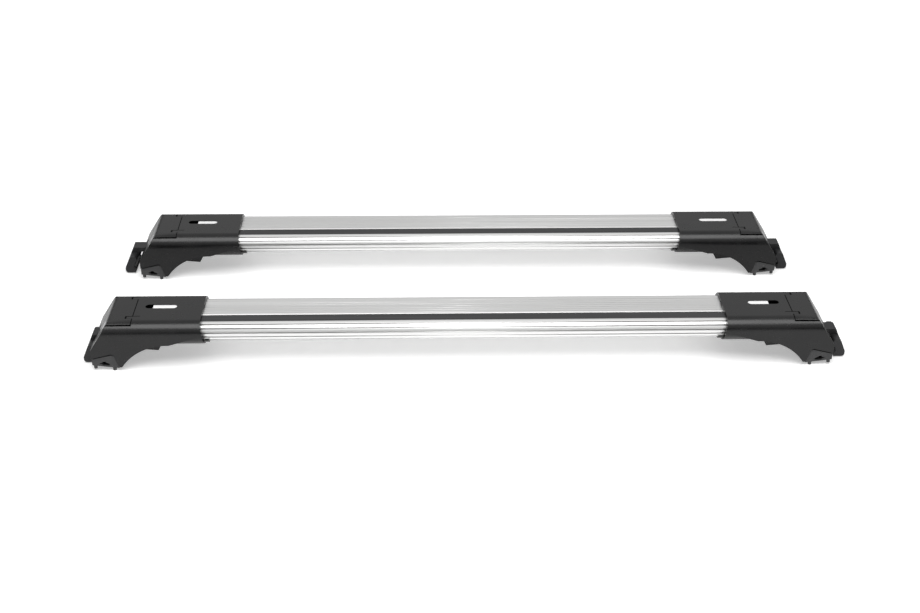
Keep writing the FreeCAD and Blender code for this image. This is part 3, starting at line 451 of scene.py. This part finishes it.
# The small steel pieces inside each foot: nut, bracket, hinge pin, lock cam and clamp screw, stamped or
# turned and then zinc plated. They sit in pockets of the housing, the hatch and the jaw's lug.
PLATE_CLOUDS = 500.0
ZINC_TONES = ((0.46, 0.47, 0.49), (0.6, 0.61, 0.63))
ZINC_GLOSS = (0.25, 0.42)
STEEL = ("hinge_pin", "lock_cam", "clamp_nut", "clamp_bolt", "bolt_bracket", "bar_clamp_screw")
STEEL_ROUND = 0.0004
CAM_ROUND = 0.0003


def plated(name, tones, gloss):
    """A plated steel finish with a cloudy tone."""
    made, tree, shader, grain = textured(name, grain_group)
    grain.inputs["Size"].default_value = PLATE_CLOUDS
    tree.links.new(ramp(tree, grain.outputs["Pebble"], *tones), shader.inputs["Base Color"])
    tree.links.new(ramp(tree, grain.outputs["Sheen"], *gloss), shader.inputs["Roughness"])
    shader.inputs["Metallic"].default_value = 1.0
    return made


zinc = plated("zinc_plate", ZINC_TONES, ZINC_GLOSS)
finish([f"{foot}_{piece}" for foot in FEET for piece in STEEL], zinc)
for foot in FEET:
    softened(f"{foot}_clamp_nut", f"{foot}_jaw", STEEL_ROUND)
    softened(f"{foot}_bolt_bracket", f"{foot}_foot", STEEL_ROUND)
    softened(f"{foot}_bar_clamp_screw", f"{foot}_foot", STEEL_ROUND)
    softened(f"{foot}_lock_cam", f"{foot}_lock", CAM_ROUND)


# The clamp bolts: M8 flanged screws with a hexagon socket and a rolled thread, zinc plated. Each turns
# in its bracket and draws the nut in the jaw's lug along.
SIDES = 24
PITCH = 0.00125
CREST = 0.004
ROOT = 0.0034
SHANK = 0.0035
THREAD_END = 0.0287
THREAD_MIDDLE = -THREAD_END - PITCH / 2
SPARE_TURNS = 2
FLANGE_RADIUS = 0.0075
FLANGE_THICK = 0.002
HEAD_RADIUS = 0.0065
HEAD_LENGTH = 0.006
SOCKET_HALF = 0.003
SOCKET_DEPTH = 0.004
HEX_TURN = math.radians(60)
RIM_ROUND = 0.0003
RIM_SEGMENTS = 2
RIM_ANGLE = math.radians(40)
BOLT_SMOOTH = math.radians(35)


def draw_out(length):
    """Extrude the selected end along the bolt."""
    bpy.ops.mesh.extrude_region_move(TRANSFORM_OT_translate={"value": (length, 0.0, 0.0)})


def draw_wide(share):
    """Extrude the selected end in its own plane."""
    bpy.ops.mesh.extrude_region()
    bpy.ops.transform.resize(value=(1.0, share, share), center_override=(0.0, 0.0, 0.0))


bpy.ops.object.select_all(action="DESELECT")
bpy.ops.mesh.primitive_circle_add(
    vertices=SIDES, radius=CREST, fill_type="NGON", location=(-SHANK, 0.0, 0.0),
    rotation=(math.pi / 2, 0.0, math.pi / 2))
head = bpy.context.object
bpy.ops.object.transform_apply(location=True, rotation=True)
bpy.ops.object.mode_set(mode="EDIT")
bpy.ops.mesh.select_mode(type="FACE")
bpy.ops.mesh.select_all(action="SELECT")
draw_out(SHANK)
draw_wide(FLANGE_RADIUS / CREST)
draw_out(FLANGE_THICK)
draw_wide(HEAD_RADIUS / FLANGE_RADIUS)
draw_out(HEAD_LENGTH)
draw_wide(SOCKET_HALF / HEAD_RADIUS)
bpy.ops.object.mode_set(mode="OBJECT")
for corner in head.data.vertices:
    if corner.select:
        turn = math.atan2(corner.co.z, corner.co.y) % HEX_TURN
        corner.co.yz = corner.co.yz / math.cos(turn - HEX_TURN / 2)
bpy.ops.object.mode_set(mode="EDIT")
draw_out(-SOCKET_DEPTH)
bpy.ops.mesh.select_all(action="SELECT")
bpy.ops.mesh.normals_make_consistent(inside=False)
bpy.ops.object.mode_set(mode="OBJECT")
rims = head.modifiers.new("round_rims", "BEVEL")
rims.width = RIM_ROUND
rims.segments = RIM_SEGMENTS
rims.angle_limit = RIM_ANGLE
bpy.ops.object.modifier_apply(modifier="round_rims")

bpy.ops.object.select_all(action="DESELECT")
bpy.ops.mesh.primitive_plane_add(size=PITCH, location=(THREAD_MIDDLE, 0.0, ROOT))
thread = bpy.context.object
bpy.ops.object.transform_apply(location=True)
pick(thread, lambda co: co.x > THREAD_MIDDLE and co.y > 0)
bpy.ops.mesh.delete(type="VERT")
bpy.ops.object.mode_set(mode="OBJECT")
for corner in thread.data.vertices:
    if corner.co.x < THREAD_MIDDLE and corner.co.y < 0:
        corner.co = (THREAD_MIDDLE, 0.0, CREST)
    else:
        corner.co.y = 0.0
turns = thread.modifiers.new("turns", "SCREW")
turns.axis = "X"
turns.screw_offset = PITCH
turns.iterations = round((THREAD_END - SHANK) / PITCH) + SPARE_TURNS
turns.steps = SIDES
turns.render_steps = SIDES
turns.use_merge_vertices = True
bpy.ops.object.modifier_apply(modifier="turns")
bpy.ops.object.mode_set(mode="EDIT")
for end, below in ((-THREAD_END, True), (-SHANK, False)):
    bpy.ops.mesh.select_all(action="SELECT")
    bpy.ops.mesh.bisect(
        plane_co=(end, 0.0, 0.0), plane_no=(1.0, 0.0, 0.0), use_fill=True,
        clear_inner=below, clear_outer=not below)
bpy.ops.mesh.select_all(action="SELECT")
bpy.ops.mesh.remove_doubles(threshold=MERGE_GAP)
bpy.ops.mesh.normals_make_consistent(inside=False)
bpy.ops.object.mode_set(mode="OBJECT")
head.select_set(True)
bpy.context.view_layer.objects.active = head
bpy.ops.object.join()
bpy.ops.object.shade_smooth_by_angle(angle=BOLT_SMOOTH)
head.data.materials.append(zinc)
for foot in FEET:
    low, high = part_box(f"{foot}_clamp_bolt")
    seat = low[0] + THREAD_END if outward(foot) > 0 else high[0] - THREAD_END
    bolt = bpy.data.objects.new(f"{foot}_threaded_bolt", head.data.copy())
    facing = Matrix.Rotation(0.0 if outward(foot) > 0 else math.pi, 4, "Z")
    bolt.data.transform(Matrix.Translation((seat, (low[1] + high[1]) / 2, (low[2] + high[2]) / 2)) @ facing)
    bpy.context.scene.collection.objects.link(bolt)
    stands_for(bolt, f"{foot}_clamp_bolt", f"{foot}_bolt")
bpy.data.objects.remove(head)


# The lock barrels: turned metal with a milled keyway, polished and chrome plated. Each is pushed
# through the end of its hatch and turns the cam behind it.
CHROME_TONES = ((0.42, 0.42, 0.44), (0.5, 0.5, 0.52))
CHROME_GLOSS = (0.12, 0.22)
LOCK_ROUND = 0.0004
chrome = plated("lock_chrome", CHROME_TONES, CHROME_GLOSS)
finish([f"{foot}_lock_barrel" for foot in FEET], chrome)
for foot in FEET:
    softened(f"{foot}_lock_barrel", f"{foot}_lock", LOCK_ROUND)


# The studio: a white floor that keeps the soft shadow, a pale surround, one broad soft lamp above the
# front, and the camera at the photograph's place. Beside the rear feet the floor's glow seen in
# reflections is lowered, a painted shade that keeps their lower faces darker than those of the front feet.
WHITE = (1.0, 1.0, 1.0, 1.0)
FLOOR_SIZE = 14.0
FLOOR_TONE = (0.86, 0.86, 0.86, 1.0)
FLOOR_ROUGHNESS = 0.9
FLOOR_LIFT = 0.40
FLOOR_MIRRORED = 0.4
FADE_REACH = (0.8, 3.0)
FADE_GAIN = (0.0, 1.6)
BESIDE_BARS = (0.29, 0.34)
BEHIND_FRONT = (-0.15, -0.05)
MASK_LEVELS = (0.0, 1.0)
SURROUND_PLAIN = 0.25
SURROUND_SEEN = 0.75
SURROUND_RISE = (0.08, 0.45)
SURROUND_MIRRORED = (-0.17, 0.58)
LAMP_PLACE = Vector((0.0, -0.9, 2.1))
LAMP_WIDTH = 2.8
LAMP_DEPTH = 1.5
LAMP_POWER = 60.0
CAMERA_PLACE = Vector((-0.05975, -1.6753, 1.011))
CAMERA_DOWN = math.radians(31.17)
CAMERA_YAW = math.radians(-1.85)
CAMERA_ROLL = math.radians(0.55)
FOCAL_PIXELS = 1350.0
IMAGE_WIDTH = 920.0
SENSOR_WIDTH = 36.0
CLIP_NEAR = 0.01
CLIP_FAR = 100.0


def seen_level(tree, plain, camera, mirrored):
    """A strength for all rays, raised for what the camera sees and for what gloss and glass mirror."""
    rays = tree.nodes.new("ShaderNodeLightPath")
    clear = figure(tree, "MAXIMUM", rays.outputs["Is Glossy Ray"], rays.outputs["Is Transmission Ray"])
    level = figure(tree, "MULTIPLY_ADD", rays.outputs["Is Camera Ray"], camera, plain)
    return figure(tree, "MULTIPLY_ADD", clear, mirrored, level)


def spread(tree, value, reach, levels):
    """A value's reach mapped onto two levels and held beyond them."""
    made = tree.nodes.new("ShaderNodeMapRange")
    for name, number in zip(("From Min", "From Max", "To Min", "To Max"), (*reach, *levels)):
        made.inputs[name].default_value = number
    tree.links.new(value, made.inputs["Value"])
    return made.outputs["Result"]


bpy.ops.object.select_all(action="DESELECT")
bpy.ops.mesh.primitive_plane_add(size=FLOOR_SIZE, location=(0.0, 0.0, 0.0))
floor = bpy.context.object
floor.name = "studio_floor"
floor_white = bpy.data.materials.new("floor_white")
floor_white.use_nodes = True
tree = floor_white.node_tree
place = tree.nodes.new("ShaderNodeTexCoord")
far_off = tree.nodes.new("ShaderNodeVectorMath")
far_off.operation = "LENGTH"
tree.links.new(place.outputs["Object"], far_off.inputs[0])
fade = spread(tree, far_off.outputs["Value"], FADE_REACH, FADE_GAIN)
lift = figure(tree, "MULTIPLY_ADD", fade, FLOOR_LIFT, FLOOR_LIFT)
ground = tree.nodes.new("ShaderNodeSeparateXYZ")
tree.links.new(place.outputs["Object"], ground.inputs["Vector"])
# Painted shade: beside the rear feet and behind the front bar, the floor's glow seen in reflections is
# lowered.
beside = spread(tree, figure(tree, "ABSOLUTE", ground.outputs["X"]), BESIDE_BARS, MASK_LEVELS)
behind = spread(tree, ground.outputs["Y"], BEHIND_FRONT, MASK_LEVELS)
painted_shade_patch = figure(tree, "MULTIPLY", beside, behind)
mirrored = figure(tree, "MULTIPLY_ADD", painted_shade_patch, -FLOOR_MIRRORED, FLOOR_MIRRORED)
shader = tree.nodes["Principled BSDF"]
shader.inputs["Base Color"].default_value = FLOOR_TONE
shader.inputs["Roughness"].default_value = FLOOR_ROUGHNESS
shader.inputs["Specular IOR Level"].default_value = 0.0
shader.inputs["Emission Color"].default_value = WHITE
tree.links.new(seen_level(tree, 0.0, lift, mirrored), shader.inputs["Emission Strength"])
floor.data.materials.append(floor_white)

world = bpy.data.worlds.new("studio")
bpy.context.scene.world = world
world.use_nodes = True
tree = world.node_tree
backdrop = tree.nodes["Background"]
backdrop.inputs["Color"].default_value = WHITE
outlook = tree.nodes.new("ShaderNodeTexCoord")
rise = tree.nodes.new("ShaderNodeSeparateXYZ")
tree.links.new(outlook.outputs["Generated"], rise.inputs["Vector"])
overhead = spread(tree, rise.outputs["Z"], SURROUND_RISE, SURROUND_MIRRORED)
tree.links.new(seen_level(tree, SURROUND_PLAIN, SURROUND_SEEN, overhead), backdrop.inputs["Strength"])

lamp = bpy.data.lights.new("key_box", "AREA")
lamp.shape = "RECTANGLE"
lamp.size = LAMP_WIDTH
lamp.size_y = LAMP_DEPTH
lamp.energy = LAMP_POWER
lamp_holder = bpy.data.objects.new("key_box", lamp)
bpy.context.scene.collection.objects.link(lamp_holder)
lamp_holder.location = LAMP_PLACE
lamp_holder.rotation_euler = (-LAMP_PLACE).to_track_quat("-Z", "Y").to_euler()

forward = Vector((
    -math.sin(CAMERA_YAW) * math.cos(CAMERA_DOWN),
    math.cos(CAMERA_YAW) * math.cos(CAMERA_DOWN),
    -math.sin(CAMERA_DOWN)))
level_right = Vector((math.cos(CAMERA_YAW), math.sin(CAMERA_YAW), 0.0))
level_up = level_right.cross(forward)
right = math.cos(CAMERA_ROLL) * level_right + math.sin(CAMERA_ROLL) * level_up
up = math.cos(CAMERA_ROLL) * level_up - math.sin(CAMERA_ROLL) * level_right
optics = bpy.data.cameras.new("photo_camera")
optics.sensor_width = SENSOR_WIDTH
optics.lens = FOCAL_PIXELS / IMAGE_WIDTH * SENSOR_WIDTH
optics.clip_start = CLIP_NEAR
optics.clip_end = CLIP_FAR
camera = bpy.data.objects.new("photo_camera", optics)
bpy.context.scene.collection.objects.link(camera)
camera.matrix_world = Matrix((
    (right.x, up.x, -forward.x, CAMERA_PLACE.x),
    (right.y, up.y, -forward.y, CAMERA_PLACE.y),
    (right.z, up.z, -forward.z, CAMERA_PLACE.z),
    (0.0, 0.0, 0.0, 1.0)))
bpy.context.scene.camera = camera
bpy.context.scene.view_settings.view_transform = "Standard"
